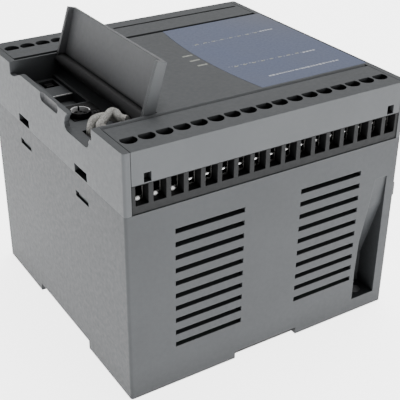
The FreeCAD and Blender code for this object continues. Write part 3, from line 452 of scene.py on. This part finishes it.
def make_materials():
    """One finish for each material slot, one for the door and one painted glint for the clamp lips."""
    return {
        # Wider, deeper painted shade for the housing, which darkens its side recess.
        "housing": moulded("housing", linear((57, 59, 61)), reach=14.0, depth=0.35),
        "cover": moulded("cover", linear((73, 75, 77)), painted_light=cover_painted_light),
        "door": moulded("door", linear((83, 85, 87)), roughness=0.5, painted_light=door_painted_shade),
        "terminal": moulded("terminal", linear((24, 25, 26)), roughness=0.6, wear=0.2, specular=0.15),
        "screw_metal": metal("screw_metal", linear((190, 188, 182)), 0.3),
        "clamp_metal": metal("clamp_metal", linear((150, 149, 147)), 0.3),
        # Painted glint for the clamp lips.
        "clamp_painted_glint": white_painted_highlight("clamp_painted_glint", roughness=0.25, specular=0.8),
        "pin_metal": metal("pin_metal", linear((120, 112, 90)), 0.35),
        "label": label_film("label"),
        "lens": lens("lens"),
        "black_plastic": moulded("black_plastic", linear((13, 13, 14)), roughness=0.5, wear=0.2),
        "knob_grey": moulded("knob_grey", linear((52, 52, 53)), roughness=0.5, wear=0.2),
        "circuit_board": circuit_board("circuit_board"),
        # Socket liner: white painted highlight, with painted shade on its near half.
        "socket_metal": white_painted_highlight("socket_metal", roughness=0.3, specular=0.6, painted_light=liner_painted_light),
        "core_metal": metal("core_metal", linear((70, 66, 64)), 0.5, brushed=(1, 1, 8)),
        "winding": moulded("winding", linear((186, 150, 60)), roughness=0.5, wear=0.1),
        "can": moulded("can", linear((46, 50, 66)), roughness=0.35, wear=0.3),
        "rubber": moulded("rubber", linear((40, 40, 41)), roughness=0.8, wear=0.1, specular=0.3),
        "cord_sleeve": woven_sleeve("cord_sleeve"),
        "ink": moulded("ink", linear((176, 179, 186)), roughness=0.5, wear=0.0, grain=0.004),
    }


def dress_nodes(materials):
    """Every CAD node takes its slot's material; the door has its own, with painted shade."""
    chosen = {s["node"]: s["material_slot"] for s in frame["record"]["subparts"]}
    chosen["port_door"] = "door"
    for node, piece in frame["nodes"].items():
        piece.data.materials.clear()
        piece.data.materials.append(materials[chosen[node]])


# ---- pieces made here -------------------------------------------------------------


def add_mesh(name, mesh, material, body="module"):
    piece = bpy.data.objects.new(name, mesh)
    bpy.context.scene.collection.objects.link(piece)
    mesh.materials.append(material)
    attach(piece, body)
    return piece


def add_bar(bm, x, y, z, length, width, thickness=0.02):
    """A thin bar lying on a face, open below; sizes in millimetres."""
    corners = []
    for dz in (0, thickness):
        for dx, dy in ((-1, -1), (1, -1), (1, 1), (-1, 1)):
            corner = Vector((x + dx * length / 2, y + dy * width / 2, z + dz))
            corners.append(bm.verts.new(corner * MM))
    low, high = corners[:4], corners[4:]
    bm.faces.new(high)
    for i in range(4):
        bm.faces.new((low[i], low[(i + 1) % 4], high[(i + 1) % 4], high[i]))


DOTTED_ROWS = (((8.3, 11.4), (33.4, 12.2)), ((7.8, -9.4), (33.4, -10.6)))
DOTS_PER_ROW = 26
WORD_ROWS = (12.2, -10.6)
WORD_START, WORD_END = 34.0, 38.6
WORD_WIDTH = 0.75
WORD_GAP = 0.25
BOLD_ROW = -21.2
BOLD_START, BOLD_END = 13.7, 39.0


def add_dotted_row(bm, rng, top, start, end):
    for i in range(DOTS_PER_ROW):
        share = i / (DOTS_PER_ROW - 1)
        x = start[0] + (end[0] - start[0]) * share
        y = start[1] + (end[1] - start[1]) * share
        add_bar(bm, x, y, top, rng.uniform(0.25, 0.6), rng.uniform(0.15, 0.3))


def add_word_row(bm, rng, top, y):
    x = WORD_START
    while x < WORD_END:
        length = rng.uniform(0.7, 1.1)
        add_bar(bm, x + length / 2, y, top, length, WORD_WIDTH)
        x += length + WORD_GAP


def add_bold_row(bm, rng, top):
    x = BOLD_START
    while x < BOLD_END:
        length = rng.uniform(0.5, 1.1)
        add_bar(bm, x + length / 2, BOLD_ROW, top, length, rng.uniform(0.5, 0.9))
        x += length + rng.uniform(0.15, 0.35)


def label_print(materials):
    """Generic bars in place of the legends: two dotted rows, each ended by larger bars, and a bold row."""
    rng = random.Random(7)
    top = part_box("panel_label")[1][2] / MM
    bm = bmesh.new()
    for start, end in DOTTED_ROWS:
        add_dotted_row(bm, rng, top, start, end)
    for y in WORD_ROWS:
        add_word_row(bm, rng, top, y)
    add_bold_row(bm, rng, top)
    mesh = bpy.data.meshes.new("label_print")
    bm.to_mesh(mesh)
    bm.free()
    add_mesh("label_print", mesh, materials["ink"])


TERMINAL_PITCH = 5.08
NEAR_POLES = 17
LOW_POLES = 3
LOW_PLATE_LEVEL = 61.75
PLATE_LEVEL = 62.6
PLATE_RISE = 0.1
PLATE_LINE = -39.8
PLATE_LENGTH, PLATE_WIDTH, PLATE_THICKNESS = 2.6, 3.2, 0.4
LIP_LINE = -41.4
LOW_LIP_LIFT, LIP_LIFT = -0.3, 0.2
LOW_LIP_SIDES, LIP_SIDES = (0.75, 0.5, 0.6), (0.8, 0.4, 0.32)


def add_lip(bm, x, z, sides):
    """A rounded lip with the given half sizes in millimetres."""
    shape = Matrix.Diagonal(Vector(sides) * MM).to_4x4()
    place = Matrix.Translation(Vector((x, LIP_LINE, z)) * MM)
    bmesh.ops.create_uvsphere(bm, u_segments=16, v_segments=10, radius=1.0, matrix=place @ shape)


def clamp_plates(materials):
    """Loose plates in the near cages, each with a rolled lip at the mouth, painted bright as a glint.

    The first few lie low; the rest lie higher, each a little above the one before it.
    """
    plates, lips = bmesh.new(), bmesh.new()
    for i in range(NEAR_POLES):
        x = TERMINAL_PITCH * (i - (NEAR_POLES - 1) / 2)
        low = i < LOW_POLES
        level = LOW_PLATE_LEVEL if low else PLATE_LEVEL + PLATE_RISE * (i - LOW_POLES)
        lift = LOW_LIP_LIFT if low else LIP_LIFT
        add_bar(plates, x, PLATE_LINE, level, PLATE_LENGTH, PLATE_WIDTH, PLATE_THICKNESS)
        add_lip(lips, x, level + lift, LOW_LIP_SIDES if low else LIP_SIDES)
    # The lips take the painted glint finish.
    for name, bm, finish in (("clamp_plates", plates, "clamp_metal"), ("clamp_lips", lips, "clamp_painted_glint")):
        mesh = bpy.data.meshes.new(name)
        bm.to_mesh(mesh)
        bm.free()
        for face in mesh.polygons:
            face.use_smooth = bm is lips
        add_mesh(name, mesh, materials[finish])


CORD_ROUTE = (
    (-40.8, -16.3, 66.6),
    (-40.8, -16.2, 72.3),
    (-37.9, -15.6, 73.0),
    (-34.9, -15.3, 72.4),
)
KNOT_ROUTE = (
    (-33.0, -15.4, 71.6),
    (-32.3, -17.6, 71.0),
    (-34.3, -19.6, 70.4),
    (-37.6, -19.6, 70.7),
    (-39.6, -19.0, 71.9),
    (-37.6, -17.7, 72.6),
    (-35.2, -15.9, 73.1),
    (-33.4, -14.3, 73.2),
    (-32.5, -15.9, 73.0),
    (-33.3, -18.0, 72.9),
    (-32.6, -19.6, 72.7),
    (-32.0, -21.2, 73.0),
)
CORD_DIAMETER = 2.3 * MM


def cord(materials):
    """The cord rises from its bushing and ends in one loose knot, pressed together where it crosses."""
    points = CORD_ROUTE + KNOT_ROUTE
    data = bpy.data.curves.new("knotted_cord", "CURVE")
    data.dimensions = "3D"
    data.bevel_depth = CORD_DIAMETER / 2
    data.bevel_resolution = 6
    data.use_fill_caps = True
    spline = data.splines.new("NURBS")
    spline.points.add(len(points) - 1)
    for control, point in zip(spline.points, points):
        control.co = (*(v * MM for v in point), 1)
    spline.order_u = 3
    spline.use_endpoint_u = True
    spline.resolution_u = 12
    data.materials.append(materials["cord_sleeve"])
    piece = bpy.data.objects.new("knotted_cord", data)
    bpy.context.scene.collection.objects.link(piece)
    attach(piece, "module")
    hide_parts("cord_lead", "cord_knot")


add_camera()
add_studio()
finishes = make_materials()
dress_nodes(finishes)
cord(finishes)
label_print(finishes)
clamp_plates(finishes)
